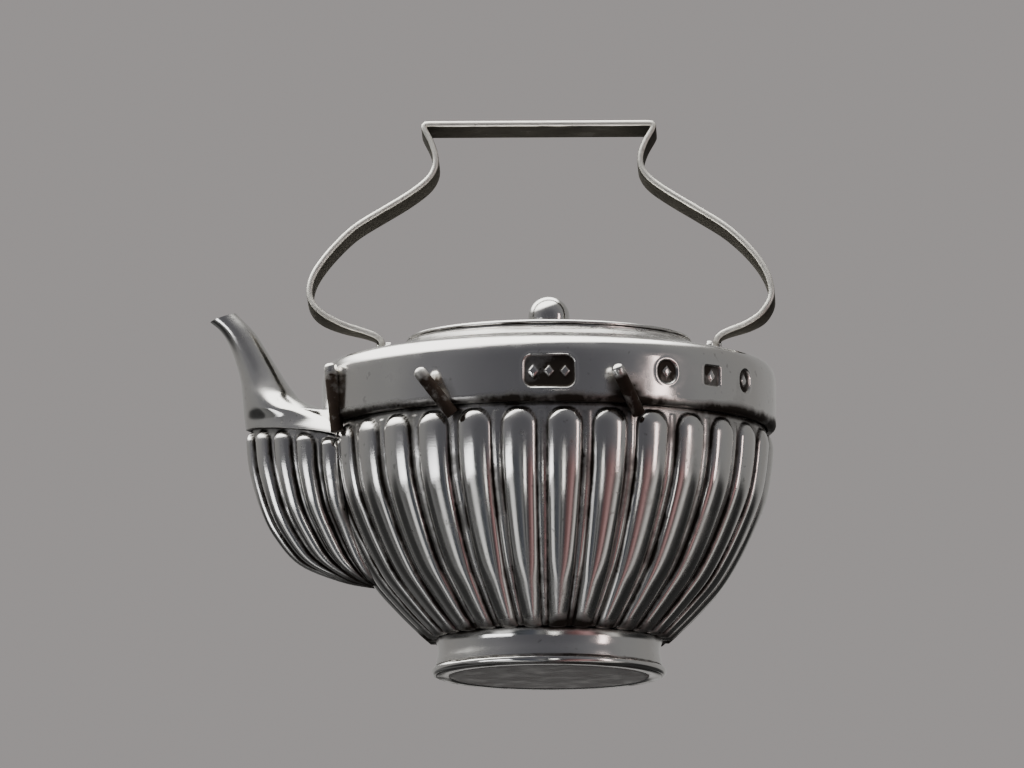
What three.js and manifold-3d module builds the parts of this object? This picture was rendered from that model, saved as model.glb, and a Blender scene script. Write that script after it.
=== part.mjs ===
// Miniature fluted kettle with a swing handle and a lift-off lid. Millimetres, +Z up.
// The kettle stands on z = 0 with its axis on Z, and its spout points along -X.
import * as THREE from "three";
import { mergeVertices } from "three/addons/utils/BufferGeometryUtils.js";
import Module from "manifold-3d";

const wasm = await Module();
wasm.setup();

// Driving dimensions.
const FLUTES = 30; // lobes round the bowl, one of them under the spout
const FLUTE_DEPTH = 0.6;
const WALL = 0.5;
const GAP = 0.03; // solder joint between fixed pieces
const BAND_RADIUS = 19;
const MOUTH_RADIUS = 11.2;
const MOUTH_Z = 28.1;
const LID_RADIUS = 11.9;
const BALL_RADIUS = 1.75;
const BALL_Z = 30.3;
const FOOT_HEIGHT = 3;
const FOOT_RADIUS = 9.5;
const BASE_RADIUS = 8.35;
const STRAP_WIDTH = 3.5;
const STRAP_THICKNESS = 0.5;
const HINGE_X = 14; // middle of each strap end
const HINGE_Z = 27.75;
const BAIL_LEAN = 9; // degrees the handle leans back, towards +Y
const PIN_RADIUS = 0.3;
const LUG_RADIUS = 0.52;
const EYE_RADIUS = 0.56;
const PEG_RADIUS = 0.55;

// Outside of the bowl over its flutes: [radius, height].
const BOWL = [
  [10.2, 3.02], [11.4, 4.1], [12.9, 5.6], [14.5, 7.4], [15.9, 9.6], [17.2, 12.2], [18.2, 14.6],
  [18.6, 16.8], [18.8, 18.8], [18.8, 19.8], [18.8, 20.3], [18.75, 20.75],
];

const steel = () => new THREE.MeshStandardMaterial({ color: 0xc9c7c2, metalness: 1, roughness: 0.3 });

// A three.js geometry as a solid that can be joined and cut.
function solid(geometry) {
  const bare = geometry.clone();
  bare.deleteAttribute("normal");
  bare.deleteAttribute("uv");
  const merged = mergeVertices(bare, 1e-4);
  return new wasm.Manifold(
    new wasm.Mesh({
      numProp: 3,
      vertProperties: new Float32Array(merged.attributes.position.array),
      triVerts: new Uint32Array(merged.index.array),
    }),
  );
}

// A solid turned about Z from a closed profile of [radius, height].
function turned(profile, segments = 64) {
  const points = [...profile, profile[0]].map(([r, z]) => new THREE.Vector2(r, z));
  return solid(new THREE.LatheGeometry(points, segments).rotateX(Math.PI / 2));
}

// A solid through a stack of closed rings of [x, y, z], counter-clockwise seen from its top end.
function lofted(rings) {
  const n = rings[0].length;
  const at = rings.flat(2);
  const faces = [];
  for (let i = 0; i + 1 < rings.length; i++)
    for (let j = 0; j < n; j++) {
      const a = i * n + j;
      const b = i * n + ((j + 1) % n);
      faces.push(a, b, b + n, a, b + n, a + n);
    }
  for (const [ring, first] of [[rings[0], 0], [rings.at(-1), (rings.length - 1) * n]]) {
    const middle = at.length / 3;
    for (const k of [0, 1, 2]) at.push(ring.reduce((sum, p) => sum + p[k], 0) / n);
    for (let j = 0; j < n; j++) {
      const a = first + j;
      const b = first + ((j + 1) % n);
      faces.push(middle, first ? a : b, first ? b : a);
    }
  }
  const geometry = new THREE.BufferGeometry();
  geometry.setAttribute("position", new THREE.Float32BufferAttribute(at, 3));
  return solid(geometry.setIndex(faces));
}

// A cylinder along X from x0 to x1, its axis at the given height.
function rodAlongX(radius, x0, x1, z) {
  const rod = new THREE.CylinderGeometry(radius, radius, x1 - x0, 24);
  return solid(rod.rotateZ(Math.PI / 2).translate((x0 + x1) / 2, 0, z));
}

// A flat outline of [a, b] made `width` thick, centred on its own plane.
function slab(outline, width) {
  const shape = new THREE.Shape(outline.map(([a, b]) => new THREE.Vector2(a, b)));
  return new THREE.ExtrudeGeometry(shape, { depth: width, bevelEnabled: false }).translate(0, 0, -width / 2);
}

const group = new THREE.Group();
function add(name, shape) {
  const made = shape.getMesh();
  const geometry = new THREE.BufferGeometry();
  geometry.setAttribute("position", new THREE.BufferAttribute(made.vertProperties, 3));
  geometry.setIndex(new THREE.BufferAttribute(made.triVerts, 1));
  geometry.computeVertexNormals();
  const mesh = new THREE.Mesh(geometry, steel());
  mesh.name = name;
  group.add(mesh);
  return mesh;
}

// The bowl: four points round each flute, the first in its channel. The flutes end in arched tops.
const fluted = BOWL.map(([r, z]) => {
  const ring = [];
  const depth = FLUTE_DEPTH * Math.min(1, Math.max(0, (20.3 - z) / 0.5));
  for (let i = 0; i < FLUTES * 4; i++) {
    const angle = ((i + 2) / (FLUTES * 4)) * 2 * Math.PI;
    const here = r - depth * [1, 0.15, 0, 0.15][i % 4];
    ring.push([here * Math.cos(angle), here * Math.sin(angle), z]);
  }
  return ring;
});
const inside = BOWL.slice(1).map(([r, z]) => [r - FLUTE_DEPTH - WALL, z]);
inside[0][1] = 3.7;
inside.at(-1)[1] = 22;
const bowlHollow = turned([[0, 3.7], ...inside, [0, 22]], 48);
const pourHole = rodAlongX(2.6, -20, -15, 14.5);
add("bowl_fluted", lofted(fluted).subtract(bowlHollow).subtract(pourHole));

// The plain band and the shoulder it turns in to, down to the edge of the mouth.
const shoulder = [
  [18.15, 20.78], [18.75, 20.78], [BAND_RADIUS, 21.4], [BAND_RADIUS, 24.5], [18.9, 25.2], [18.6, 25.8],
  [18.1, 26.2], [17, 26.5], [15.6, 26.8], [14, 27.1], [12.8, 27.55], [12, MOUTH_Z],
  [MOUTH_RADIUS, MOUTH_Z], [MOUTH_RADIUS, 27.6], [11.8, 27.5], [12.6, 27.05], [14, 26.6], [15.4, 26.3],
  [16.8, 26], [17.7, 25.75], [18.15, 25.4], [18.4, 24.9], [18.5, 24.2], [18.5, 21.4],
];
add("shoulder_band", turned(shoulder));
const collar = [[MOUTH_RADIUS, 26.3], [11.5, 26.3], [11.5, 27.52], [MOUTH_RADIUS, 27.57]];
add("mouth_collar", turned(collar));

// The foot: a turned-in ring, a bead round it near the floor, and the flat plate that closes it.
const footRing = [
  [BASE_RADIUS + GAP, 0], [FOOT_RADIUS, 0], [FOOT_RADIUS, 1.1], [9.35, 2], [9.35, FOOT_HEIGHT],
  [8.9, FOOT_HEIGHT], [8.9, 0.45], [BASE_RADIUS + GAP, 0.45],
];
add("foot_ring", turned(footRing, 48));
const bead = [[FOOT_RADIUS + GAP, 0.05], [9.7, 0.1], [9.82, 0.4], [9.7, 0.7], [FOOT_RADIUS + GAP, 0.75]];
add("foot_bead", turned(bead, 48));
add("foot_base_plate", turned([[0, 0], [BASE_RADIUS, 0], [BASE_RADIUS, 0.45], [0, 0.45]], 48));

// Everything inside the kettle's outside face, which the spout and the pegs are cut back from.
const bodySpace = turned([
  [0, 3], ...BOWL.map(([r, z]) => [r + GAP, z]),
  [BAND_RADIUS + GAP, 21.4], [BAND_RADIUS + GAP, 24.55], [18.95, 25.25], [18.6, 26], [0, 26],
]);

// The spout. Each section: nose [x, z], heel [x, z], half width along Y, squareness.
const LOBE = [
  [[-15.1, 7.6], [-13.5, 7.6], 1.05, 1.7], [[-17.6, 8.1], [-11.8, 8.1], 2.5, 1.7],
  [[-20.9, 9.5], [-9.9, 9.5], 3.4, 1.6], [[-22.9, 11.7], [-9.5, 11.7], 4.4, 1.55],
  [[-24.1, 14], [-9.7, 14], 5.4, 1.5], [[-25.05, 17.2], [-9.5, 17.2], 6, 1.5],
  [[-25.35, 19.6], [-9.4, 19.6], 6.2, 1.5], [[-25.4, 20.75], [-9.4, 20.75], 6.2, 1.5],
];
const NECK = [
  [[-25.4, 20.78], [-9.4, 20.78], 6.2, 1.5], [[-25.5, 21.6], [-11, 21.6], 5.4, 1.6],
  [[-25.6, 22.4], [-17.3, 22.2], 4.1, 1.8], [[-25.7, 23.6], [-20.3, 23.1], 3.2, 2],
  [[-25.85, 25], [-21.5, 24.3], 2.6, 2], [[-26.3, 26.7], [-22.7, 26.1], 2.05, 2],
  [[-26.9, 28.2], [-23.7, 27.7], 1.7, 2], [[-27.6, 29.3], [-24.7, 29.2], 1.45, 2],
  [[-28.4, 30], [-26.2, 30.75], 1.15, 2],
];
const LOBE_FLUTES = 9; // on the half of the lobe that faces away from the bowl

// One section as a ring of points, taken in by `inset` all round.
function section([nose, heel, halfWidth, power], inset, fluteDepth) {
  const ring = [];
  const long = Math.hypot(nose[0] - heel[0], nose[1] - heel[1]) / 2;
  const count = LOBE_FLUTES * 8;
  for (let i = 0; i < count; i++) {
    const angle = (i / count) * 2 * Math.PI;
    const round = (v) => Math.sign(v) * Math.abs(v) ** (2 / power);
    const channel = Math.cos(angle) > 0 ? [0, 0, 1, 0][i % 4] : 0;
    const along = (round(Math.cos(angle)) * (long - inset - channel * fluteDepth)) / long;
    const across = round(Math.sin(angle)) * (halfWidth - inset - channel * fluteDepth);
    const t = (along + 1) / 2;
    ring.push([heel[0] + t * (nose[0] - heel[0]), -across, heel[1] + t * (nose[1] - heel[1])]);
  }
  return ring;
}
const shifted = ([nose, heel, ...rest], [dx, dz]) => [
  [nose[0] + dx, nose[1] + dz], [heel[0] + dx, heel[1] + dz], ...rest,
];
const lobeOut = lofted(LOBE.map((at, i) => section(at, 0, i > 1 && i < 7 ? 0.4 : 0)));
const lobeIn = lofted([...LOBE.slice(1), shifted(LOBE.at(-1), [0, 1])].map((at) => section(at, 0.8, 0)));
add("spout_lobe", lobeOut.subtract(lobeIn).subtract(bodySpace));
const neckOut = lofted(NECK.map((at) => section(at, 0, 0)));
const neckIn = lofted(
  [shifted(NECK[0], [0, -0.5]), ...NECK, shifted(NECK.at(-1), [-1.2, 1.1])].map((at) => section(at, 0.45, 0)),
);
add("spout_neck", neckOut.subtract(neckIn).subtract(bodySpace));
const outside = (sections) => lofted(sections.map((at) => section(at, -GAP, 0)));
const spoutSpace = outside(LOBE).add(outside(NECK));

// The six pegs lean out, up and towards the spout. The two beside the spout stand more upright.
// Azimuths are measured from the spout direction, positive towards the front (-Y).
[24, 66, 114, -24, -66, -114].forEach((azimuth, i) => {
  const a = THREE.MathUtils.degToRad(azimuth);
  const out = new THREE.Vector3(-Math.cos(a), -Math.sin(a), 0);
  const round = new THREE.Vector3(-Math.sin(a), Math.cos(a), 0).multiplyScalar(Math.sign(azimuth));
  const root = out.clone().multiplyScalar(19.1).setZ(20.3);
  const [outBy, roundBy, upBy] = Math.abs(azimuth) < 30 ? [0.5, 0.25, 5.2] : [1.2, 2.3, 3.3];
  const lean = out.clone().multiplyScalar(outBy).addScaledVector(round, roundBy).setZ(upBy);
  const peg = new THREE.CapsuleGeometry(PEG_RADIUS, lean.length() - PEG_RADIUS, 3, 12);
  const along = lean.clone().normalize();
  const turn = new THREE.Quaternion().setFromUnitVectors(new THREE.Vector3(0, 1, 0), along);
  const middle = root.addScaledVector(lean, 0.5);
  peg.applyQuaternion(turn).translate(middle.x, middle.y, middle.z);
  add("peg_" + (i + 1), solid(peg).subtract(bodySpace).subtract(spoutSpace));
});

// Lugs on the shoulder beside each strap end, and the pins riveted through them.
const shoulderSpace = turned([[0, 20], ...shoulder.slice(6, 12).map(([r, z]) => [r, z + GAP]), [0, MOUTH_Z]]);
for (const [side, name] of [[-1, "spout_side"], [1, "far_side"]]) {
  const lug = [[0.9, 26.5]];
  for (let i = 0; i <= 8; i++) {
    const angle = (i / 8) * Math.PI;
    lug.push([LUG_RADIUS * Math.cos(angle), HINGE_Z + LUG_RADIUS * Math.sin(angle)]);
  }
  lug.push([-0.9, 26.5]);
  const plate = slab(lug, 0.4).rotateX(Math.PI / 2).rotateZ(Math.PI / 2);
  plate.translate(side * (HINGE_X - 0.55), 0, 0);
  const pinHole = rodAlongX(PIN_RADIUS + 0.02, -20, 20, HINGE_Z);
  add("bail_lug_" + name, solid(plate).subtract(shoulderSpace).subtract(pinHole));
  const ends = (a, b) => (side > 0 ? [a, b] : [-b, -a]);
  const shank = rodAlongX(PIN_RADIUS, ...ends(HINGE_X - 0.8, HINGE_X + 0.35), HINGE_Z);
  const head = rodAlongX(0.45, ...ends(HINGE_X + 0.3, HINGE_X + 0.5), HINGE_Z);
  add("bail_pin_" + name, shank.add(head));
}

// The bail: a flat strap bent in the XZ plane, its ends narrowed to drilled eyes.
const HALF_PATH = [
  [14, 26.9], [14, 28.15], [14.35, 28.6], [15.2, 29], [17, 29.6], [18.4, 30.4], [19.2, 31.5], [19.3, 32.7],
  [18.8, 34.2], [17.6, 35.9], [15.6, 37.8], [13.2, 39.4], [11, 40.8], [9.4, 42], [8.7, 43], [8.6, 44],
  [8.95, 45.2], [9.55, 46.3], [9.6, 46.75], [9.2, 46.95],
];
// The strap was bent by hand, so above its ends it stands a little towards the spout.
const handBent = ([x, z]) => {
  const low = Math.min(1, Math.max(0, (z - 28.2) / 3));
  return [x - 0.65 * low - 0.022 * Math.max(0, z - 32), z];
};
const path = [...HALF_PATH.map(([x, z]) => [-x, z]), ...[...HALF_PATH].reverse()].map(handBent);
const sideOf = (which) =>
  path.map(([x, z], i) => {
    const before = path[Math.max(0, i - 1)];
    const after = path[Math.min(path.length - 1, i + 1)];
    const step = Math.hypot(after[0] - before[0], after[1] - before[1]);
    const push = (which * STRAP_THICKNESS) / 2 / step;
    return [x - (after[1] - before[1]) * push, z + (after[0] - before[0]) * push];
  });
const strap = slab([...sideOf(1), ...sideOf(-1).reverse()], STRAP_WIDTH).rotateX(Math.PI / 2);
const eye = [];
for (let i = 0; i <= 12; i++) {
  const angle = Math.PI + (i / 12) * Math.PI;
  eye.push([EYE_RADIUS * Math.cos(angle), HINGE_Z + EYE_RADIUS * Math.sin(angle)]);
}
const half = STRAP_WIDTH / 2;
const widths = [...eye, [0.65, 28.4], [half - 0.2, 30.2], [half, 31], [half, 50], [-half, 50], [-half, 31],
  [0.2 - half, 30.2], [-0.65, 28.4]];
const taper = slab(widths, 60).rotateX(Math.PI / 2).rotateZ(Math.PI / 2);
const bail = solid(strap).intersect(solid(taper)).subtract(rodAlongX(PIN_RADIUS + 0.06, -20, 20, HINGE_Z));
const lean = bail.translate([0, 0, -HINGE_Z]).rotate([-BAIL_LEAN, 0, 0]).translate([0, 0, HINGE_Z]);
add("bail_strap", lean);

// The lid: a shallow dome, the bezel that drops in the mouth, and a ball on a small collar.
const LID_Z = MOUTH_Z + 0.05;
const dome = [
  [0, 28.4], [7.5, 28.25], [10.6, LID_Z], [LID_RADIUS, LID_Z], [LID_RADIUS, 28.5], [11.2, 28.6], [8, 28.78],
  [4, 28.91], [0, 28.95],
];
add("lid_dome", turned(dome));
add("lid_bezel", turned([[10.65, 26.6], [11.05, 26.6], [11.05, LID_Z - GAP], [10.65, LID_Z - GAP]]));
add("finial_collar", turned([[0, 28.98], [1.35, 28.98], [1.35, 29.08], [1.15, 29.16], [0, 29.16]], 24));
const ball = [[0, 29.19]];
const seat = Math.asin((29.19 - BALL_Z) / BALL_RADIUS);
for (let i = 0; i <= 8; i++) {
  const angle = seat + (i / 8) * (Math.PI / 2 - seat);
  ball.push([i < 8 ? BALL_RADIUS * Math.cos(angle) : 0, BALL_Z + BALL_RADIUS * Math.sin(angle)]);
}
add("finial_ball", turned(ball, 24));

export default group;
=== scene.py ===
import math

import bmesh
import bpy
from mathutils import Matrix, Vector


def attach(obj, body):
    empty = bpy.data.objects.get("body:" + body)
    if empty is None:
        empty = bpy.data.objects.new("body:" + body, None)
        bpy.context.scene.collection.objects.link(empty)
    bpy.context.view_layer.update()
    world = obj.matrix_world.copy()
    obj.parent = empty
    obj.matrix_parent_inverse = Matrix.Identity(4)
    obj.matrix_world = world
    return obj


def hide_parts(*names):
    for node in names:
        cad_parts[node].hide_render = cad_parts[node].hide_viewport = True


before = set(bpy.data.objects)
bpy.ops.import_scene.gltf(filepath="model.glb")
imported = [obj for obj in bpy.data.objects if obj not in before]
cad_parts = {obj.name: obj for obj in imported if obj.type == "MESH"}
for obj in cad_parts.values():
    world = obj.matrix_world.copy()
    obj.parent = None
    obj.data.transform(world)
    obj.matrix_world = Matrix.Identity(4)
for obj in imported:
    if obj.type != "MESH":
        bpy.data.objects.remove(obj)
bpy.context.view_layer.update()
mm = 0.001

# ---- Camera -------------------------------------------------------------------------------------
# It looks about 8 degrees up at the kettle through a very long lens from 1.5 m away, and from 2
# degrees round towards the side away from the spout.
aim = Vector((-3.1 * mm, 0, 24.7 * mm))
camera_turn, camera_rise, camera_distance = math.radians(2), math.radians(-7.8), 1500 * mm
camera_place = aim + camera_distance * Vector((
    math.sin(camera_turn) * math.cos(camera_rise),
    -math.cos(camera_turn) * math.cos(camera_rise),
    math.sin(camera_rise),
))
camera_data = bpy.data.cameras.new("camera")
camera_data.lens = 630
camera_data.sensor_width = 36
camera_data.clip_start = 1 * mm
camera = bpy.data.objects.new("camera", camera_data)
camera.location = camera_place
camera.rotation_euler = (aim - camera_place).to_track_quat("-Z", "Y").to_euler()
bpy.context.collection.objects.link(camera)
bpy.context.scene.camera = camera

# ---- Studio -------------------------------------------------------------------------------------
# A pale floor that is clear from below, since the camera is under it, a room of dark and light
# bands all round, and three soft boxes. Polished silver shows little but what stands round it.
floor_colour = (0.56, 0.55, 0.54, 1)
floor_mesh = bpy.data.meshes.new("floor")
floor_half, floor_z = 1.5, -0.1 * mm
floor_mesh.from_pydata(
    [(x * floor_half, y * floor_half, floor_z) for x, y in ((-1, -1), (1, -1), (1, 1), (-1, 1))],
    [], [(0, 1, 2, 3)])
floor = bpy.data.objects.new("floor", floor_mesh)
bpy.context.collection.objects.link(floor)
floor.visible_glossy = False

floor_paint = bpy.data.materials.new("floor_paint")
floor_paint.use_nodes = True
nodes, links = floor_paint.node_tree.nodes, floor_paint.node_tree.links
nodes.clear()
matt = nodes.new("ShaderNodeBsdfDiffuse")
matt.inputs["Color"].default_value = floor_colour
clear = nodes.new("ShaderNodeBsdfTransparent")
side = nodes.new("ShaderNodeNewGeometry")
mix = nodes.new("ShaderNodeMixShader")
out = nodes.new("ShaderNodeOutputMaterial")
links.new(side.outputs["Backfacing"], mix.inputs["Fac"])
links.new(matt.outputs["BSDF"], mix.inputs[1])
links.new(clear.outputs["BSDF"], mix.inputs[2])
links.new(mix.outputs["Shader"], out.inputs["Surface"])
floor_mesh.materials.append(floor_paint)

world = bpy.data.worlds.new("studio")
world.use_nodes = True
bpy.context.scene.world = world
nodes, links = world.node_tree.nodes, world.node_tree.links
nodes.clear()
direction = nodes.new("ShaderNodeTexCoord")
parts = nodes.new("ShaderNodeSeparateXYZ")
links.new(direction.outputs["Generated"], parts.inputs["Vector"])


def ramp(tree_nodes, stops):
    """A colour ramp of (position, grey or colour) stops."""
    node = tree_nodes.new("ShaderNodeValToRGB")
    node.color_ramp.interpolation = "EASE"
    elements = node.color_ramp.elements
    for i, (position, value) in enumerate(stops):
        element = elements[i] if i < 2 else elements.new(position)
        element.position = position
        element.color = (*value, 1) if isinstance(value, tuple) else (value, value, value, 1)
    return node


def to_unit(tree_nodes, tree_links, socket):
    """Brings a direction's component from -1..1 to 0..1."""
    node = tree_nodes.new("ShaderNodeMapRange")
    node.inputs["From Min"].default_value = -1
    tree_links.new(socket, node.inputs["Value"])
    return node.outputs["Result"]


# Above the horizon it is dim in front and pale behind, with a wide bright window overhead. Below
# it, dark at the back, with narrow upright lights in front, which the flutes draw out as streaks.
level = ramp(nodes, [(0.0, 0.0), (0.37, 0.0), (0.46, 1.0)])
links.new(to_unit(nodes, links, parts.outputs["Z"]), level.inputs["Fac"])
room = ramp(nodes, [(0.0, (0.09, 0.09, 0.10)), (0.25, (0.16, 0.16, 0.17)), (0.5, (0.22, 0.22, 0.22)),
                    (0.8, (0.24, 0.235, 0.23)), (0.95, (0.3, 0.295, 0.29)), (1.0, (0.4, 0.39, 0.38))])
links.new(to_unit(nodes, links, parts.outputs["Y"]), room.inputs["Fac"])
towards_window = nodes.new("ShaderNodeVectorMath")
towards_window.operation = "DOT_PRODUCT"
towards_window.inputs[1].default_value = Vector((-0.32, 0.2, 0.92)).normalized()
links.new(direction.outputs["Generated"], towards_window.inputs[0])
window = ramp(nodes, [(0.0, 0.0), (0.64, 0.0), (0.78, 1.0)])
links.new(towards_window.outputs["Value"], window.inputs["Fac"])
upper = nodes.new("ShaderNodeMix")
upper.data_type = "RGBA"
upper.inputs[7].default_value = (4.2, 4.15, 4.0, 1)
links.new(window.outputs["Color"], upper.inputs["Factor"])
links.new(room.outputs["Color"], upper.inputs[6])
round_it = nodes.new("ShaderNodeTexGradient")
round_it.gradient_type = "RADIAL"
links.new(direction.outputs["Generated"], round_it.inputs["Vector"])
lower = ramp(nodes, [
    (0.0, 0.16), (0.07, 0.08), (0.10, 0.9), (0.13, 0.8), (0.15, (0.05, 0.055, 0.06)),
    (0.21, (0.07, 0.075, 0.09)), (0.232, 0.2), (0.25, (0.02, 0.022, 0.025)), (0.268, 0.2),
    (0.29, (0.05, 0.05, 0.055)), (0.33, (0.13, 0.07, 0.07)), (0.375, (0.40, 0.24, 0.24)),
    (0.40, (0.06, 0.045, 0.045)), (0.46, (0.6, 0.58, 0.56)), (0.49, 0.05), (0.56, 0.02), (0.66, 0.03),
    (0.75, 0.02), (0.86, 0.10), (0.92, 0.03)])
links.new(round_it.outputs["Fac"], lower.inputs["Fac"])
both = nodes.new("ShaderNodeMix")
both.data_type = "RGBA"
links.new(level.outputs["Color"], both.inputs["Factor"])
links.new(lower.outputs["Color"], both.inputs[6])
links.new(upper.outputs[2], both.inputs[7])
seen = nodes.new("ShaderNodeLightPath")
sky = nodes.new("ShaderNodeMix")
sky.data_type = "RGBA"
sky.inputs[7].default_value = (0.335, 0.315, 0.31, 1)
links.new(both.outputs[2], sky.inputs[6])
links.new(seen.outputs["Is Camera Ray"], sky.inputs["Factor"])
glow = nodes.new("ShaderNodeBackground")
links.new(sky.outputs[2], glow.inputs["Color"])
out = nodes.new("ShaderNodeOutputWorld")
links.new(glow.outputs["Background"], out.inputs["Surface"])


def soft_box(name, place, size, power, colour):
    """A rectangular lamp at a place in millimetres, turned to face the kettle."""
    data = bpy.data.lights.new(name, "AREA")
    data.shape = "RECTANGLE"
    data.size, data.size_y = size[0] * mm, size[1] * mm
    data.energy = power
    data.color = colour
    lamp = bpy.data.objects.new(name, data)
    lamp.location = Vector(place) * mm
    lamp.rotation_euler = (Vector((0, 0, 18 * mm)) - lamp.location).to_track_quat("-Z", "Y").to_euler()
    lamp.visible_camera = False
    bpy.context.collection.objects.link(lamp)


soft_box("window_front_left", (-320, -240, -75), (240, 110), 0.26, (0.97, 0.98, 1.0))
soft_box("warm_right", (340, -200, 20), (60, 220), 0.16, (1.0, 0.80, 0.76))
soft_box("low_front", (40, -330, -120), (40, 160), 0.05, (1.0, 0.97, 0.93))

# ---- Fluted bowl --------------------------------------------------------------------------------
# The body is raised from sheet silver and chased with 30 lobes, which stand between narrow
# channels and end in round tops under the band. Tarnish sits where polishing does not reach.
flute_count = 30
flute_relief = 0.62
lobe_share = 0.385  # a lobe's half width as a share of one flute's pitch
bowl_radius, bowl_bottom, bowl_floor = 18.8, 3.02, 3.7
bowl_crest = [
    (10.2, 3.02), (11.4, 4.1), (12.9, 5.6), (14.5, 7.4), (15.9, 9.6), (17.2, 12.2), (18.15, 14.6),
    (18.6, 16.8), (18.8, 18.8), (18.8, 19.8), (18.8, 20.3), (18.75, 20.75),
]


def through(points, steps):
    """A smooth line through points of any dimension, with `steps` pieces between each two."""
    line = []
    last = len(points) - 1
    for i in range(last):
        a, b, c, d = (points[max(0, min(last, i + k))] for k in (-1, 0, 1, 2))
        for j in range(steps):
            t = j / steps
            line.append(tuple(
                0.5 * (2 * q + (r - p) * t + (2 * p - 5 * q + 4 * r - s) * t * t
                       + (3 * q - p - 3 * r + s) * t * t * t)
                for p, q, r, s in zip(a, b, c, d)))
    return line + [tuple(points[-1])]


def smooth_step(low, high, value):
    t = max(0.0, min(1.0, (value - low) / (high - low)))
    return t * t * (3 - 2 * t)


def flute_shape(across, half_width, to_top):
    """(height above the channel floor from 0 to 1, tarnish) at a place on a flute, in millimetres."""
    past = max(0.0, half_width - to_top) / half_width
    reach = math.hypot(across / half_width, past)
    lift = max(0.0, 1 - reach * reach) ** 0.5
    edge = math.exp(-(((reach - 1) * half_width / 0.16) ** 2))
    fillet = 0.14 * smooth_step(1.05, 1.25, abs(across) / half_width)
    dull = max(0.95 * edge, 0.45 * smooth_step(0.95, 1.1, reach), smooth_step(0.1, -0.3, to_top) * 0.8)
    return max(lift, fillet if to_top > 0.3 else 0.0), min(1.0, dull)


def flute_columns():
    """Places across one flute, from -0.5 to 0.5 of its pitch, closest at the lobe's steep sides."""
    half = [lobe_share * math.sin(math.radians(a)) for a in (0, 14, 28, 42, 54, 65, 75, 83, 90)]
    half += [0.41, 0.44, 0.5]
    return [-u for u in reversed(half[1:])] + half


def make_mesh(name, rows, patina_and_shade, wrap_rows=False, wrap_columns=False):
    """A mesh over a grid of millimetre points. patina_and_shade gives each point its darkening: tarnish,
    and on some pieces painted shade.
    """
    count = len(rows[0])
    points = [[c * mm for c in point] for row in rows for point in row]
    faces = []
    for i in range(len(rows) if wrap_rows else len(rows) - 1):
        below, above = i * count, ((i + 1) % len(rows)) * count
        for j in range(count if wrap_columns else count - 1):
            k = (j + 1) % count
            faces.append((below + j, below + k, above + k, above + j))
    mesh = bpy.data.meshes.new(name)
    mesh.from_pydata(points, [], faces)
    dull = mesh.attributes.new("patina_and_shade", "FLOAT", "POINT")
    dull.data.foreach_set("value", [v for row in patina_and_shade for v in row])
    return mesh


def place(name, mesh, *materials):
    """Puts a mesh in the scene as an object at the origin, facing out and smooth but for sharp edges."""
    for material in materials:
        mesh.materials.append(material)
    build = bmesh.new()
    build.from_mesh(mesh)
    bmesh.ops.recalc_face_normals(build, faces=build.faces)
    build.to_mesh(mesh)
    build.free()
    mesh.polygons.foreach_set("use_smooth", [True] * len(mesh.polygons))
    mesh.set_sharp_from_angle(angle=math.radians(50))
    piece = bpy.data.objects.new(name, mesh)
    bpy.context.collection.objects.link(piece)
    return piece


def weld(mesh):
    """Merges doubled points, as at poles, and drops the faces that close up."""
    distance = 0.002 * mm
    build = bmesh.new()
    build.from_mesh(mesh)
    bmesh.ops.remove_doubles(build, verts=build.verts, dist=distance)
    bmesh.ops.dissolve_degenerate(build, edges=build.edges, dist=distance / 4)
    build.to_mesh(mesh)
    build.free()
    return mesh


# Wear that all the silver has: cloudy patches of handling, short polishing scratches and pits.
handling = bpy.data.node_groups.new("Handled silver", "ShaderNodeTree")
patch_size = handling.interface.new_socket("Patch Size", in_out="INPUT", socket_type="NodeSocketFloat")
patch_size.default_value = 250
for mask_name in ("Cloud", "Scratches", "Specks"):
    handling.interface.new_socket(mask_name, in_out="OUTPUT", socket_type="NodeSocketFloat")
nodes, links = handling.nodes, handling.links
group_in, group_out = nodes.new("NodeGroupInput"), nodes.new("NodeGroupOutput")
where = nodes.new("ShaderNodeTexCoord")
cloud = nodes.new("ShaderNodeTexNoise")
cloud.inputs["Detail"].default_value = 5
cloud.inputs["Roughness"].default_value = 0.62
links.new(where.outputs["Object"], cloud.inputs["Vector"])
links.new(group_in.outputs["Patch Size"], cloud.inputs["Scale"])
clouded = ramp(nodes, [(0.35, 0.0), (0.7, 1.0)])
links.new(cloud.outputs["Fac"], clouded.inputs["Fac"])
links.new(clouded.outputs["Color"], group_out.inputs["Cloud"])
stretch = nodes.new("ShaderNodeMapping")
stretch.inputs["Scale"].default_value = (900, 900, 9000)
stretch.inputs["Rotation"].default_value = (0.3, 0.2, 0.4)
links.new(where.outputs["Object"], stretch.inputs["Vector"])
lines = nodes.new("ShaderNodeTexNoise")
lines.inputs["Scale"].default_value = 1
lines.inputs["Detail"].default_value = 3
links.new(stretch.outputs["Vector"], lines.inputs["Vector"])
links.new(lines.outputs["Fac"], group_out.inputs["Scratches"])
specks = nodes.new("ShaderNodeTexNoise")
specks.inputs["Scale"].default_value = 1400
specks.inputs["Detail"].default_value = 2
links.new(where.outputs["Object"], specks.inputs["Vector"])
speckled = ramp(nodes, [(0.66, 0.0), (0.74, 1.0)])
links.new(specks.outputs["Fac"], speckled.inputs["Fac"])
links.new(speckled.outputs["Color"], group_out.inputs["Specks"])


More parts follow.
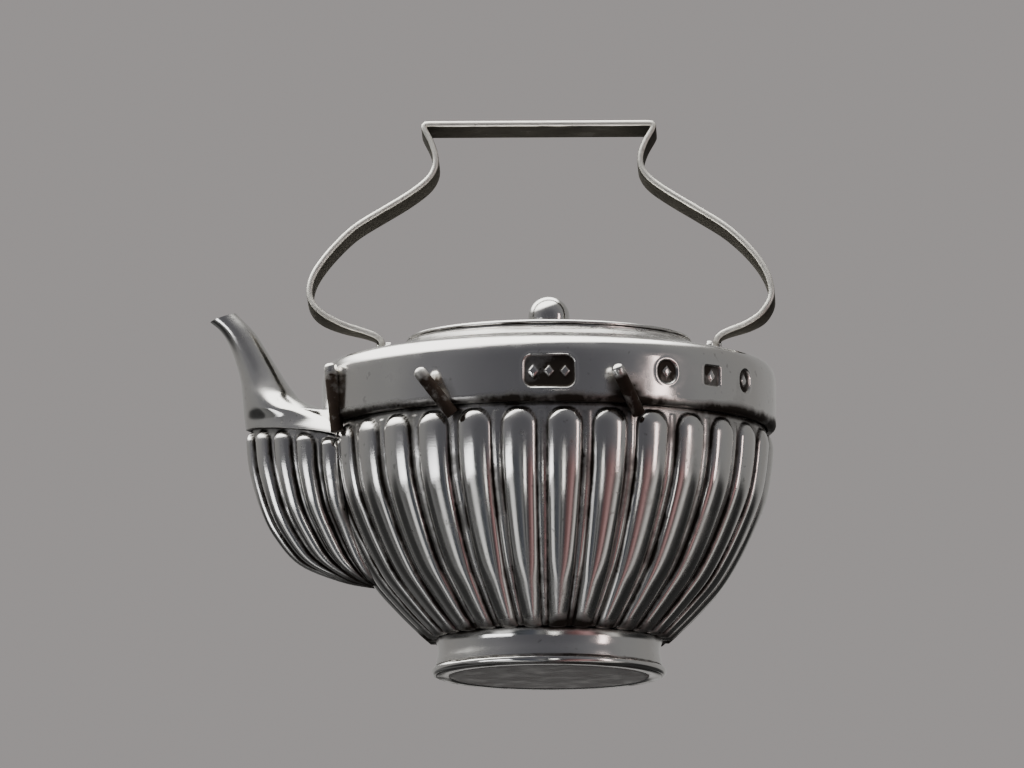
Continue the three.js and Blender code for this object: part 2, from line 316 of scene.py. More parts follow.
def silver(name, bright=(0.86, 0.845, 0.82), patina_shade_colour=(0.055, 0.047, 0.04), gloss=0.13, cloudy=0.1,
           scratch=0.04, patch=260):
    """Polished silver that goes dark and dull by the mesh's patina_and_shade: tarnish, and on some pieces
    painted shade.
    """
    material = bpy.data.materials.new(name)
    material.use_nodes = True
    nodes, links = material.node_tree.nodes, material.node_tree.links
    shader = nodes["Principled BSDF"]
    wear = nodes.new("ShaderNodeGroup")
    wear.node_tree = handling
    wear.inputs["Patch Size"].default_value = patch
    darkening = nodes.new("ShaderNodeAttribute")
    darkening.attribute_name = "patina_and_shade"
    # The darkening, tarnish and painted shade alike, breaks up along its edge with the clouds.
    ragged = nodes.new("ShaderNodeMath")
    ragged.operation = "MULTIPLY_ADD"
    links.new(wear.outputs["Cloud"], ragged.inputs[0])
    ragged.inputs[1].default_value = 0.5
    links.new(darkening.outputs["Fac"], ragged.inputs[2])
    mask = nodes.new("ShaderNodeMapRange")
    mask.inputs["From Min"].default_value = 0.42
    mask.inputs["From Max"].default_value = 1.15
    links.new(ragged.outputs["Value"], mask.inputs["Value"])
    spots = nodes.new("ShaderNodeMath")
    spots.operation = "MULTIPLY_ADD"
    spots.inputs[1].default_value = 0.25
    links.new(wear.outputs["Specks"], spots.inputs[0])
    links.new(mask.outputs["Result"], spots.inputs[2])
    spots.use_clamp = True
    colour = nodes.new("ShaderNodeMix")
    colour.data_type = "RGBA"
    colour.inputs[6].default_value = (*bright, 1)
    colour.inputs[7].default_value = (*patina_shade_colour, 1)
    links.new(spots.outputs["Value"], colour.inputs["Factor"])
    links.new(colour.outputs[2], shader.inputs["Base Color"])
    rough = nodes.new("ShaderNodeMath")
    rough.operation = "MULTIPLY_ADD"
    rough.inputs[1].default_value = cloudy
    rough.inputs[2].default_value = gloss
    links.new(wear.outputs["Cloud"], rough.inputs[0])
    rougher = nodes.new("ShaderNodeMath")
    rougher.operation = "MULTIPLY_ADD"
    rougher.inputs[1].default_value = 0.4
    links.new(spots.outputs["Value"], rougher.inputs[0])
    links.new(rough.outputs["Value"], rougher.inputs[2])
    links.new(rougher.outputs["Value"], shader.inputs["Roughness"])
    shader.inputs["Metallic"].default_value = 1
    relief = nodes.new("ShaderNodeBump")
    relief.inputs["Strength"].default_value = scratch
    relief.inputs["Distance"].default_value = 0.05 * mm
    links.new(wear.outputs["Scratches"], relief.inputs["Height"])
    links.new(relief.outputs["Normal"], shader.inputs["Normal"])
    return material


fluted_silver = silver("fluted_silver")
plain_silver = silver("plain_silver", gloss=0.11)

# One flute from the middle of the base up to the rim and down the inside, as a wedge.
pitch = 2 * math.pi / flute_count
wall = 0.5
crest = through(bowl_crest, 5)
columns = flute_columns()
wedge, wedge_hollow = [], []


def wedge_row(radius, z, depth=0.0, dull=0.0):
    wedge.append([((radius - depth) * math.cos(u * pitch), (radius - depth) * math.sin(u * pitch), z)
                  for u in columns])
    wedge_hollow.append([dull] * len(columns))


wedge_row(0, bowl_bottom, dull=0.3)
wedge_row(9.0, bowl_bottom, dull=0.3)
flute_top = 20.35
for i, (radius, z) in enumerate(crest):
    before, after = crest[max(0, i - 1)], crest[min(len(crest) - 1, i + 1)]
    run = Vector((after[0] - before[0], after[1] - before[1])).normalized()
    relief_here = flute_relief * (radius / bowl_radius) ** 0.7
    row, dull_row = [], []
    for u in columns:
        lift, dull = flute_shape(u * pitch * radius, lobe_share * pitch * radius, flute_top - z)
        depth = relief_here * (1 - lift)
        r, h = radius - depth * run.y, z + depth * run.x
        row.append((r * math.cos(u * pitch), r * math.sin(u * pitch), max(bowl_bottom, h)))
        dull_row.append(max(dull, 0.8 * smooth_step(4.2, 3.1, z)))
    wedge.append(row)
    wedge_hollow.append(dull_row)
for radius, z in reversed(bowl_crest[1:]):
    wedge_row(radius, z if z < 20.7 else 20.75, flute_relief + wall, 0.35)
wedge_row(9.4, bowl_floor, dull=0.4)
wedge_row(0, bowl_floor, dull=0.4)
wedge_mesh = make_mesh("flute_wedge", wedge, patina_and_shade=wedge_hollow)

# Geometry nodes set copies of a piece round the kettle's axis and weld what touches. The bowl is
# made so from its wedge, and the pegs further on from one peg.
round_tree = bpy.data.node_groups.new("Copies round the axis", "GeometryNodeTree")
face = round_tree.interface
face.new_socket("Piece", in_out="INPUT", socket_type="NodeSocketGeometry")
count_socket = face.new_socket("Count", in_out="INPUT", socket_type="NodeSocketInt")
first_socket = face.new_socket("First Angle", in_out="INPUT", socket_type="NodeSocketFloat")
step_socket = face.new_socket("Step", in_out="INPUT", socket_type="NodeSocketFloat")
weld_socket = face.new_socket("Weld Distance", in_out="INPUT", socket_type="NodeSocketFloat")
silver_socket = face.new_socket("Silver", in_out="INPUT", socket_type="NodeSocketMaterial")
face.new_socket("Copies", in_out="OUTPUT", socket_type="NodeSocketGeometry")
nodes, links = round_tree.nodes, round_tree.links
group_in, group_out = nodes.new("NodeGroupInput"), nodes.new("NodeGroupOutput")
spots = nodes.new("GeometryNodePoints")
links.new(group_in.outputs["Count"], spots.inputs["Count"])
order = nodes.new("GeometryNodeInputIndex")
angle = nodes.new("ShaderNodeMath")
angle.operation = "MULTIPLY_ADD"
links.new(order.outputs["Index"], angle.inputs[0])
links.new(group_in.outputs["Step"], angle.inputs[1])
links.new(group_in.outputs["First Angle"], angle.inputs[2])
about_z = nodes.new("ShaderNodeCombineXYZ")
links.new(angle.outputs["Value"], about_z.inputs["Z"])
copies = nodes.new("GeometryNodeInstanceOnPoints")
links.new(spots.outputs["Points"], copies.inputs["Points"])
links.new(group_in.outputs["Piece"], copies.inputs["Instance"])
links.new(about_z.outputs["Vector"], copies.inputs["Rotation"])
real = nodes.new("GeometryNodeRealizeInstances")
links.new(copies.outputs["Instances"], real.inputs["Geometry"])
merge = nodes.new("GeometryNodeMergeByDistance")
links.new(real.outputs["Geometry"], merge.inputs["Geometry"])
links.new(group_in.outputs["Weld Distance"], merge.inputs["Distance"])
coat = nodes.new("GeometryNodeSetMaterial")
links.new(merge.outputs["Geometry"], coat.inputs["Geometry"])
links.new(group_in.outputs["Silver"], coat.inputs["Material"])
links.new(coat.outputs["Geometry"], group_out.inputs["Copies"])


def grown(name, mesh, tree, values):
    """The mesh that a geometry tree makes from another, with the tree's inputs set by socket."""
    source = bpy.data.objects.new(name + "_source", mesh)
    bpy.context.collection.objects.link(source)
    modifier = source.modifiers.new("tree", "NODES")
    modifier.node_group = tree
    for socket, value in values:
        modifier[socket.identifier] = value
    bpy.context.view_layer.update()
    graph = bpy.context.evaluated_depsgraph_get()
    made = bpy.data.meshes.new_from_object(source.evaluated_get(graph))
    made.name = name
    bpy.data.objects.remove(source)
    return made


bowl_mesh = grown("bowl", wedge_mesh, round_tree, [
    (count_socket, flute_count), (step_socket, pitch), (weld_socket, 0.004 * mm),
    (silver_socket, fluted_silver)])
bowl = place("bowl", bowl_mesh)
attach(bowl, "kettle")
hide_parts("bowl_fluted")

# ---- Shoulder band ------------------------------------------------------------------------------
# A plain band of sheet, turned in over the shoulder to the mouth and soldered to the bowl. Its
# front carries four punched cartouches, left blank but for small raised lozenges.
band_line = [(18.3, 20.72), (18.72, 20.72), (18.92, 20.9), (19.0, 21.1)]
band_line += [(19.0, 21.3 + 0.1 * k) for k in range(31)] + through([
    (19.0, 24.4), (18.98, 24.8), (18.9, 25.25), (18.68, 25.75), (18.3, 26.12), (17.75, 26.34),
    (17.0, 26.5), (15.6, 26.78), (14.0, 27.03), (12.8, 27.5), (12.0, 27.95)], 5)
band_inside = [
    (12.0, 28.08), (11.25, 28.1), (11.2, 28.05), (11.2, 27.6), (11.8, 27.5), (12.6, 27.05), (14.0, 26.6),
    (15.4, 26.3), (16.8, 26.0), (17.7, 25.75), (18.15, 25.4), (18.35, 24.9), (18.4, 24.2), (18.4, 21.4)]

# Each cartouche: azimuth from the front in degrees, height, half width, half height, corner.
cartouches = [(1.9, 23.2, 2.15, 1.35, 0.75), (33, 23.5, 0.95, 1.0, 0.9), (47.5, 23.55, 0.95, 0.85, 0.2),
              (61, 23.6, 0.85, 1.0, 0.85)]


def cartouche_depth(across, up, half_width, half_height, corner):
    """(how far the punch sank, tarnish) at a place measured from a cartouche's middle."""
    x, y = abs(across) - half_width + corner, abs(up) - half_height + corner
    outside = math.hypot(max(x, 0), max(y, 0)) + min(max(x, y), 0) - corner
    sunk = 0.17 * smooth_step(0.05, -0.12, outside) - 0.035 * math.exp(-(((outside - 0.12) / 0.12) ** 2))
    studs = 3 if half_width > 1.5 else 1
    stud = 0.0
    for k in range(studs):
        middle = (k - (studs - 1) / 2) * half_width * 0.62
        reach = abs(across - middle) / 0.48 + abs(up) / 0.62
        stud = max(stud, smooth_step(1.05, 0.55, reach))
    sunk -= 0.13 * stud * smooth_step(0.0, -0.2, outside)
    dull = smooth_step(0.1, -0.1, outside) * (1 - 0.85 * stud) * 0.95
    return sunk, dull


band_radius = 19
peg_azimuths = (-66, -24, 24, -114, -156, 156)  # dark solder has run up over each peg
azimuths = []
angle = -180.0
while angle < 180:
    azimuths.append(angle)
    angle += 0.3 if -9 <= angle < 67.5 else 1.5
band, band_patina_and_shade = [], []
for radius, z in band_line:
    row, dull_row = [], []
    for azimuth in azimuths:
        sunk, dull = 0.0, 0.9 * smooth_step(21.8, 20.95, z)
        if 21.4 < z < 25.2:
            for middle, height, *size in cartouches:
                if abs(azimuth - middle) < 9:
                    a = math.radians(azimuth - middle) * band_radius
                    more, darker = cartouche_depth(a, z - height, *size)
                    sunk, dull = sunk + more, max(dull, darker)
        for peg in peg_azimuths:
            off = math.hypot((azimuth - peg + 2) * 0.33, (z - 21.0) * 0.8)
            dull = max(dull, 0.8 * smooth_step(2.6, 0.5, off))
        # The shoulder's edge at the mouth is painted dark, a painted shadow in the gap beside the lid.
        dull = max(dull, 0.5 * smooth_step(12.6, 12.0, radius))
        a = math.radians(azimuth)
        r = radius - sunk
        row.append((r * math.sin(a), -r * math.cos(a), z))
        dull_row.append(dull)
    band.append(row)
    band_patina_and_shade.append(dull_row)
turns = [math.radians(azimuth) for azimuth in azimuths]
for radius, z in band_inside:
    band.append([(radius * math.sin(a), -radius * math.cos(a), z) for a in turns])
    band_patina_and_shade.append([0.4] * len(azimuths))
band_mesh = make_mesh("band", band, wrap_rows=True, wrap_columns=True, patina_and_shade=band_patina_and_shade)
shoulder_band = place("shoulder_and_band", band_mesh, plain_silver)
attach(shoulder_band, "kettle")
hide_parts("shoulder_band")

# ---- Mouth collar, foot ring, bead and base plate -------------------------------------------------
# Turned rings of sheet and a half-round wire, all soldered: the collar hangs in the mouth, and the
# foot is a concave ring with a bead near its edge and a flat plate let in underneath.


def lathe(name, profile, patina_and_shade, columns=128, on_axis=False):
    """A ring turned about the kettle's axis. The profile closes on itself unless it meets the axis."""
    turns = [2 * math.pi * j / columns for j in range(columns)]
    rows = [[(radius * math.cos(a), radius * math.sin(a), z) for a in turns] for radius, z in profile]
    dull = [[patina_and_shade(radius, z)] * columns for radius, z in profile]
    mesh = make_mesh(name, rows, wrap_rows=not on_axis, wrap_columns=True, patina_and_shade=dull)
    return weld(mesh) if on_axis else mesh


collar = place("collar_in_mouth", lathe("collar", [
    (11.2, 26.3), (11.27, 26.24), (11.43, 26.24), (11.5, 26.3), (11.5, 27.5), (11.2, 27.56)],
    patina_and_shade=lambda r, z: 0.45), plain_silver)
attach(collar, "kettle")
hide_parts("mouth_collar")

foot_line = [(8.38, 0.06), (8.46, 0.0), (9.36, 0.0), (9.46, 0.05), (9.5, 0.14), (9.48, 0.5)]
foot_line += through([(9.48, 0.8), (9.42, 1.2), (9.3, 1.9), (9.32, 2.5), (9.5, 3.0)], 5)
foot_line += [(8.9, 3.0), (8.9, 0.45), (8.38, 0.45)]
# A dark line is painted round the foot's wall just above the bead, as painted shade for the dark reflection
# that runs there.
foot = place("foot", lathe("foot", foot_line, patina_and_shade=lambda r, z: max(
    0.85 * smooth_step(2.6, 3.0, z), 0.3 * smooth_step(8.5, 8.38, r),
    0.8 * smooth_step(0.95, 0.8, z) * smooth_step(9.3, 9.45, r))), plain_silver)
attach(foot, "kettle")
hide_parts("foot_ring")

bead_round = [(9.52 + 0.3 * math.cos(a), 0.4 + 0.33 * math.sin(a))
              for a in [math.radians(-90 + 180 * k / 12) for k in range(13)]]
# The bead's upper inner side is painted dark too, the same painted shade.
bead = place("foot_bead_wire", lathe("bead", bead_round + [(9.46, 0.73), (9.46, 0.07)],
             patina_and_shade=lambda r, z: 0.9 * smooth_step(9.7, 9.56, r) * smooth_step(0.4, 0.6, z)), plain_silver)
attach(bead, "kettle")
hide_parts("foot_bead")

base_silver = silver(
    "base_silver", bright=(0.9, 0.88, 0.86), gloss=0.32, cloudy=0.25, scratch=0.3, patch=420)
base = place("base_plate", lathe("base", [
    (0, 0.0), (4, 0.0), (7.9, 0.0), (8.25, 0.02), (8.35, 0.07), (8.35, 0.45), (4, 0.45), (0, 0.45)],
    on_axis=True, patina_and_shade=lambda r, z: 0.4 * smooth_step(8.0, 8.35, r)), base_silver)
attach(base, "kettle")
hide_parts("foot_base_plate")

# ---- Spout --------------------------------------------------------------------------------------
# A fluted lobe of nine chased flutes stands out from the bowl, and a plain swan neck rises out of
# it to a slanted lip. Both are hollow sheet, soldered to the kettle and to each other.
# A section: nose x, nose z, heel x, heel z, half width along Y, squareness.
lobe_sections = [
    (-15.1, 7.6, -13.5, 7.6, 1.05, 1.7), (-17.6, 8.1, -11.8, 8.1, 2.5, 1.7),
    (-20.9, 9.5, -9.9, 9.5, 3.4, 1.6), (-22.9, 11.7, -9.5, 11.7, 4.4, 1.55),
    (-24.1, 14, -9.7, 14, 5.4, 1.5), (-25.05, 17.2, -9.5, 17.2, 6, 1.5),
    (-25.35, 19.6, -9.4, 19.6, 6.2, 1.5), (-25.4, 20.9, -9.4, 20.9, 6.2, 1.5),
]
neck_sections = [
    (-25.4, 20.9, -9.4, 20.9, 6.2, 1.5), (-25.5, 21.6, -11, 21.6, 5.4, 1.6),
    (-25.6, 22.4, -17.3, 22.2, 4.1, 1.8), (-25.7, 23.6, -20.3, 23.1, 3.2, 2),
    (-25.85, 25, -21.5, 24.3, 2.6, 2), (-26.3, 26.7, -22.7, 26.1, 2.05, 2),
    (-26.9, 28.2, -23.7, 27.7, 1.7, 2), (-27.6, 29.3, -24.7, 29.2, 1.45, 2),
    (-28.4, 30, -26.2, 30.75, 1.15, 2),
]


def section_point(section, angle, inset=0.0):
    """A point on a section. Angle 0 is its nose, and positive angles are towards the front."""
    nose_x, nose_z, heel_x, heel_z, half_width, power = section
    half_length = math.hypot(nose_x - heel_x, nose_z - heel_z) / 2
    cos, sin = math.cos(angle), math.sin(angle)
    along = math.copysign(abs(cos) ** (2 / power), cos) * (half_length - inset) / half_length
    across = math.copysign(abs(sin) ** (2 / power), sin) * (half_width - inset)
    t = (along + 1) / 2
    return Vector((heel_x + t * (nose_x - heel_x), -across, heel_z + t * (nose_z - heel_z)))


def pressed(grid, depths):
    """Moves each point of a grid inwards along the surface's own normal by its depth."""
    rows, columns = len(grid), len(grid[0])
    moved = []
    for i in range(rows):
        moved.append([])
        for j in range(columns):
            up = Vector(grid[min(rows - 1, i + 1)][j]) - Vector(grid[max(0, i - 1)][j])
            over = Vector(grid[i][min(columns - 1, j + 1)]) - Vector(grid[i][max(0, j - 1)])
            normal = over.cross(up)
            normal = normal.normalized() if normal.length > 1e-6 else Vector((-1, 0, 0))
            moved[i].append(tuple(Vector(grid[i][j]) - normal * depths[i][j]))
    return moved


lobe_flutes = 9
lobe_relief = 0.55
lobe_foot, lobe_top = 7.6, 20.9
lobe_dip = 1.5  # how much lower the lobe's top edge is at the bowl than at its nose
lobe_lines = through(lobe_sections, 6)
half_turn = math.radians(97)
fine_steps = 240
shares = sorted({
    round((k + 0.5 + u) / lobe_flutes, 5) for k in range(lobe_flutes) for u in flute_columns()})
base_grid, depths, lobe_hollow = [], [], []
for section in lobe_lines:
    fine = [section_point(section, half_turn * (2 * k / fine_steps - 1)) for k in range(fine_steps + 1)]
    run = [0.0]
    for a, b in zip(fine, fine[1:]):
        run.append(run[-1] + (b - a).length)
    whole = run[-1]
    row, depth_row, dull_row = [], [], []
    k = 0
    for share in shares:
        while k < fine_steps - 1 and run[k + 1] < share * whole:
            k += 1
        t = (share * whole - run[k]) / max(1e-9, run[k + 1] - run[k])
        point = fine[k].lerp(fine[k + 1], min(1.0, max(0.0, t)))
        part = (share - 0.5) * 2
        drop = lobe_dip * part * part * smooth_step(12, lobe_top, section[1])
        point.z -= drop
        flute_pitch = whole / lobe_flutes
        across = ((share * lobe_flutes) % 1 - 0.5) * flute_pitch
        to_top = lobe_top - 0.25 - section[1]
        lift, dull = flute_shape(across, lobe_share * flute_pitch, to_top)
        fade = smooth_step(0.0, 1.6, section[1] - lobe_foot)
        row.append(tuple(point))
        depth_row.append(lobe_relief * (1 - lift) * min(1.0, flute_pitch / 2.2) * (0.3 + 0.7 * fade))
        dull_row.append(max(
            dull, 0.8 * smooth_step(0.86, 1.0, abs(part)), 0.6 * smooth_step(9.5, lobe_foot, section[1])))
    base_grid.append(row)
    depths.append(depth_row)
    lobe_hollow.append(dull_row)
lobe_grid = pressed(base_grid, depths)
lobe_back = pressed(base_grid, [[lobe_relief + 0.25] * len(shares)] * len(base_grid))
lobe_mesh = make_mesh("lobe", lobe_grid + lobe_back[::-1], wrap_rows=True,
                      patina_and_shade=lobe_hollow + [[0.5] * len(shares)] * len(lobe_back))
lobe = place("spout_lobe_fluted", weld(lobe_mesh), fluted_silver)
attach(lobe, "kettle")
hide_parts("spout_lobe")

neck_lines = through(neck_sections, 7)
neck_columns = 72
root_radius, root_turn = 18.6, math.radians(19)  # how far in and how far round its root may reach


def neck_row(section, inset, dip):
    """A ring of the neck. dip, from 1 down to 0, is how closely it follows the lobe's sloping top."""
    row = []
    for j in range(neck_columns):
        angle = 2 * math.pi * (0.5 - j / neck_columns)
        point = section_point(section, angle, inset)
        point.z -= lobe_dip * dip * min(1.0, (angle / half_turn) ** 2)
        reach = math.hypot(point.x, point.y)
        if reach < root_radius:
            point.x, point.y = point.x * root_radius / reach, point.y * root_radius / reach
            if abs(math.atan2(point.y, -point.x)) > math.radians(20):
                point.x = -root_radius * math.cos(root_turn)
                point.y = math.copysign(root_radius * math.sin(root_turn), point.y)
        row.append(tuple(point))
    return row


neck_outside = [neck_row(s, 0.0, max(0.0, 1 - i / 12)) for i, s in enumerate(neck_lines)]
neck_inside = [neck_row(s, 0.35 if i > len(neck_lines) - 4 else 0.45, max(0.0, 1 - i / 12))
               for i, s in enumerate(neck_lines)]
neck_hollow = [[0.75 * smooth_step(1.5, 0, i)] * neck_columns for i in range(len(neck_outside))]
neck_hollow += [[0.8] * neck_columns for _ in neck_inside]
neck_mesh = make_mesh(
    "neck", neck_outside + neck_inside[::-1], wrap_rows=True, wrap_columns=True, patina_and_shade=neck_hollow)
neck = place("spout_neck_plain", weld(neck_mesh), plain_silver)
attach(neck, "kettle")
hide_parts("spout_neck")

# ---- Pegs ---------------------------------------------------------------------------------------
# Short cut lengths of round silver wire, soldered on under the band, three on each side. They lean
# outwards and towards the spout, the pair beside it the least, and are dark but for their tips.
peg_silver = silver("peg_silver", bright=(0.8, 0.785, 0.755), patina_shade_colour=(0.07, 0.052, 0.042), gloss=0.18,
                    cloudy=0.25, patch=700)
peg_radius = 0.55
peg_root = Vector((-19.1, 0, 20.3))


def peg_wedge(side, peg_lean):
    """One peg at the spout direction, as a mesh. side is 1 for the front row and -1 for the back."""
    length = peg_lean.length
    outline = [(0, -0.6), (peg_radius, -0.6)]
    outline += [(peg_radius, length * t) for t in (0.1, 0.3, 0.5, 0.7, 0.85)]
    outline += [(peg_radius * math.cos(a), length - 0.45 * (1 - math.sin(a)))
                for a in [math.radians(15 * k) for k in range(1, 6)]] + [(0, length)]
    turn = peg_lean.to_track_quat("Z", "Y").to_matrix()
    circle = [math.pi * j / 10 for j in range(20)]
    rows, dull = [], []
    for radius, z in outline:
        ring = [peg_root + turn @ Vector((radius * math.cos(a), radius * math.sin(a), z)) for a in circle]
        rows.append([(p.x, side * -p.y, p.z) for p in ring])
        dull.append([0.1 + 0.9 * smooth_step(length - 0.3, length - 1.5, z)] * len(circle))
    return weld(make_mesh("peg", rows, wrap_columns=True, patina_and_shade=dull))


upright, leaning = Vector((-0.5, -0.25, 5.2)), Vector((-1.2, -2.3, 3.3))
for side, row_name, count, first, lean, nodes_held in (
        (1, "peg_by_spout_front", 1, 24, upright, ("peg_1",)),
        (1, "pegs_front", 2, 66, leaning, ("peg_2", "peg_3")),
        (-1, "peg_by_spout_back", 1, 24, upright, ("peg_4",)),
        (-1, "pegs_back", 2, 66, leaning, ("peg_5", "peg_6"))):
    pegs_mesh = grown(row_name, peg_wedge(side, lean), round_tree, [
        (count_socket, count), (first_socket, math.radians(first * side)),
        (step_socket, math.radians(48 * side)), (weld_socket, 0.001 * mm), (silver_socket, peg_silver)])
    pegs = place(row_name, pegs_mesh)
    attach(pegs, "kettle")
    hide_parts(*nodes_held)

# ---- Handle lugs and pins -----------------------------------------------------------------------
# A small filed lug of thick sheet stands on the shoulder inside each end of the handle. A wire pin
# goes through both and is riveted over into a round head.
hinge_x, hinge_z = 14.0, 27.75
lug_radius, lug_half_foot, lug_bottom = 0.52, 0.85, 26.95
pin_radius, head_radius = 0.3, 0.45
lug_line = [(lug_half_foot, lug_bottom)]
lug_line += [(lug_radius * math.cos(a), hinge_z + lug_radius * math.sin(a))
             for a in [math.pi * k / 14 for k in range(15)]] + [(-lug_half_foot, lug_bottom)]
pin_line = [(0, -0.8), (pin_radius, -0.8), (pin_radius, 0.3), (head_radius, 0.3)]
pin_line += [(head_radius * math.cos(a), 0.36 + 0.14 * math.sin(a))
             for a in [math.radians(18 * k) for k in range(5)]] + [(0, 0.5)]
circle = [math.pi * j / 12 for j in range(24)]
for side, end in ((-1, "spout_side"), (1, "far_side")):
    middle = side * (hinge_x - 0.55)
    rows = []
    for x, share in ((-0.2, 0.95), (-0.15, 1), (0.15, 1), (0.2, 0.95)):
        rows.append([(middle + x, y * share, hinge_z + (z - hinge_z) * share) for y, z in lug_line])
    ends = [[(middle + x, 0, 27.4)] * len(lug_line) for x in (-0.2, 0.2)]
    rows = [ends[0]] + rows + [ends[1]]
    dull = [[0.35 + 0.5 * smooth_step(27.6, 27.2, p[2]) for p in row] for row in rows]
    lug_mesh = make_mesh("lug", rows, wrap_columns=True, patina_and_shade=dull)
    lug = place("lug_" + end, weld(lug_mesh), peg_silver)
    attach(lug, "kettle")
    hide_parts("bail_lug_" + end)
    rows = [[(side * (hinge_x + x), r * math.cos(a), hinge_z + side * r * math.sin(a)) for a in circle]
            for r, x in pin_line]
    pin_mesh = make_mesh("pin", rows, wrap_columns=True, patina_and_shade=[[0.3] * len(circle) for _ in rows])
    pin = place("pin_" + end, weld(pin_mesh), peg_silver)
    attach(pin, "kettle")
    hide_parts("bail_pin_" + end)

# ---- Handle -------------------------------------------------------------------------------------
# One length of flat drawn strip, 3.5 mm wide and 0.5 mm thick, bent by hand to a pear shape with a
# straight top and a sharp corner at each side. Its ends are narrowed and drilled for the pins.
# Its dark colour is painted shade on the strap's flats, and tarnish by the pins.
strap_silver = silver("strap_silver", bright=(0.97, 0.95, 0.89), patina_shade_colour=(0.11, 0.104, 0.09),
                      gloss=0.46, cloudy=0.16, patch=330)
half_path = through([
    (14, 27.2), (14, 28.1), (14.35, 28.6), (15.2, 29), (17, 29.6), (18.4, 30.4), (19.2, 31.5), (19.3, 32.7),
    (18.8, 34.2), (17.6, 35.9), (15.6, 37.8), (13.2, 39.4), (11, 40.8), (9.4, 42), (8.7, 43), (8.6, 44),
    (8.95, 45.2), (9.5, 46.3)], 5) + [(9.62, 46.6), (9.62, 46.8), (9.5, 46.92), (9.2, 46.95)]
top_bar = [(9.2 - 18.4 * k / 12, 46.95) for k in range(1, 12)]
path = [(-x, z) for x, z in half_path] + [(-x, z) for x, z in top_bar] + half_path[::-1]
bent = [(x - 0.65 * smooth_step(28.2, 31.2, z) - 0.022 * max(0, z - 32)
         + 0.06 * math.sin(z * 0.9 + x * 0.3) * smooth_step(29, 31, z), z) for x, z in path]
edge_turns = [math.radians(a) for a in (90, 60, 30, 0, -30, -60, -90)]
strap_edge = [(1 - 0.12 * (1 - math.cos(a)), math.sin(a)) for a in edge_turns]
strap_edge += [(-across, thick) for across, thick in strap_edge[::-1]]
lean_back = Matrix.Rotation(math.radians(-9), 4, "X")
pivot = Vector((0, 0, hinge_z))
half_thickness, end_half_width, end_radius = 0.25, 0.62, 0.56
rows, dull = [], []
for i, (x, z) in enumerate(bent):
    before, after = bent[max(0, i - 1)], bent[min(len(bent) - 1, i + 1)]
    run = Vector((after[0] - before[0], after[1] - before[1])).normalized()
    half_width = end_half_width + 1.13 * smooth_step(28.3, 30.9, z)
    if z < hinge_z:
        half_width = math.sqrt(max(0.0004, end_radius ** 2 - (hinge_z - z) ** 2))
    row = []
    for across, thick in strap_edge:
        t = thick * half_thickness
        p = Vector((x - run.y * t, across * half_width, z + run.x * t))
        row.append(tuple(lean_back @ (p - pivot) + pivot))
    rows.append(row)
    # The flats are painted dark all over, as painted shade, and the edges are left bright.
    dull.append([max(0.0 if abs(across) > 0.9 else 1.12, 0.5 * smooth_step(29.2, 28, z))
                 for across, thick in strap_edge])
strap_mesh = make_mesh("strap", rows, wrap_columns=True, patina_and_shade=dull)
build = bmesh.new()
build.from_mesh(strap_mesh)
bmesh.ops.holes_fill(build, edges=build.edges, sides=0)
bmesh.ops.recalc_face_normals(build, faces=build.faces)
build.to_mesh(strap_mesh)
build.free()

# One drill along the pins' line cuts an eye in each end, with a little play round the pin.
eye_radius = 0.36
build = bmesh.new()
bmesh.ops.create_cone(
    build, cap_ends=True, segments=40, radius1=eye_radius * mm, radius2=eye_radius * mm, depth=40 * mm,
    matrix=Matrix.Translation((0, 0, hinge_z * mm)) @ Matrix.Rotation(math.radians(90), 4, "Y"))
drill_mesh = bpy.data.meshes.new("drill")
build.to_mesh(drill_mesh)
build.free()
drill = bpy.data.objects.new("drill", drill_mesh)
blank = bpy.data.objects.new("strap_blank", strap_mesh)
for tool in (drill, blank):
    bpy.context.collection.objects.link(tool)
cut = blank.modifiers.new("eyes", "BOOLEAN")
cut.operation = "DIFFERENCE"
cut.solver = "EXACT"
cut.object = drill
bpy.context.view_layer.update()
strap_mesh = bpy.data.meshes.new_from_object(blank.evaluated_get(bpy.context.evaluated_depsgraph_get()))
strap_mesh.name = "strap"
for tool in (drill, blank):
    bpy.data.objects.remove(tool)
strap = place("handle_strap", strap_mesh, strap_silver)
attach(strap, "bail")
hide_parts("bail_strap")

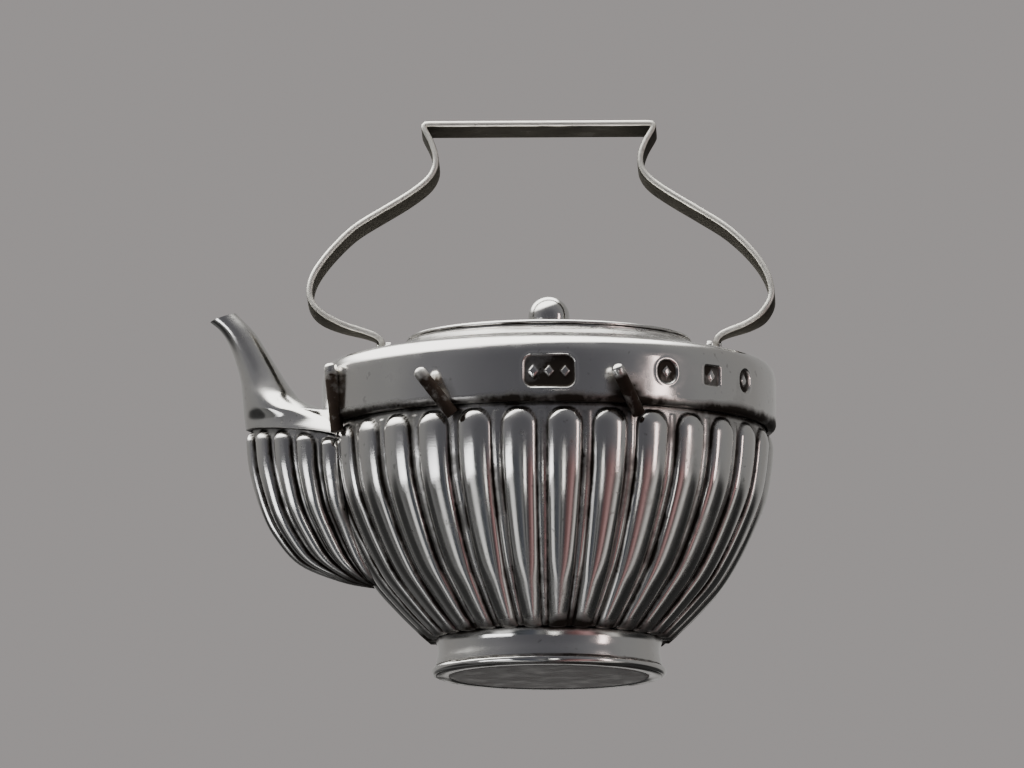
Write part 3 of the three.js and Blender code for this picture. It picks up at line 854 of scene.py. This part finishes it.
# ---- Lid ----------------------------------------------------------------------------------------
# A flat-domed disc with a soldered bezel that drops in the mouth. A ball, cast solid, stands in the
# middle on a small collar. The lid has no hinge and lifts straight off.
lid_line = through([(0, 28.95), (4, 28.91), (8, 28.78), (10.6, 28.62), (11.5, 28.54)], 6)
lid_line += [(11.72, 28.5), (11.86, 28.42), (11.9, 28.32), (11.87, 28.22), (11.78, 28.15)]
lid_line += [(10.6, 28.15), (7.5, 28.25), (0, 28.4)]
# The underside of the lid's rim is painted dark, a painted shadow in the gap round the lid.
lid = place("lid_disc", lathe("lid", lid_line[::-1], columns=160, on_axis=True,
            patina_and_shade=lambda r, z: max(0.9 * smooth_step(28.36, 28.18, z) * smooth_step(11.3, 11.8, r),
                                    0.6 * smooth_step(2.2, 1.4, r))), plain_silver)
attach(lid, "lid")
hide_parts("lid_dome")

bezel = place("lid_bezel_ring", lathe("bezel", [
    (10.65, 28.12), (10.65, 26.66), (10.7, 26.6), (11.0, 26.6), (11.05, 26.66), (11.05, 28.12)],
    columns=160, patina_and_shade=lambda r, z: 0.4), plain_silver)
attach(bezel, "lid")
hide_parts("lid_bezel")

seat = place("ball_seat", lathe("seat", [
    (0, 28.9), (1.35, 28.9), (1.4, 28.98), (1.38, 29.06), (1.2, 29.14), (1.15, 29.2), (0, 29.2)],
    columns=48, on_axis=True, patina_and_shade=lambda r, z: 0.55), plain_silver)
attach(seat, "lid")
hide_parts("finial_collar")

ball_radius, ball_z, ball_foot = 1.75, 30.3, 29.19
low = math.asin((ball_foot - ball_z) / ball_radius)
ball_turns = [low + (math.pi / 2 - low) * k / 28 for k in range(28)]
ball_line = [(0, ball_foot)]
ball_line += [(ball_radius * math.cos(a), ball_z + ball_radius * math.sin(a)) for a in ball_turns]
ball_line += [(0, ball_z + ball_radius)]
# The ball is darker towards its foot.
ball = place("lid_ball", lathe("ball", ball_line, columns=64, on_axis=True,
             patina_and_shade=lambda r, z: 0.8 * smooth_step(29.9, 29.2, z)), plain_silver)
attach(ball, "lid")
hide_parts("finial_ball")
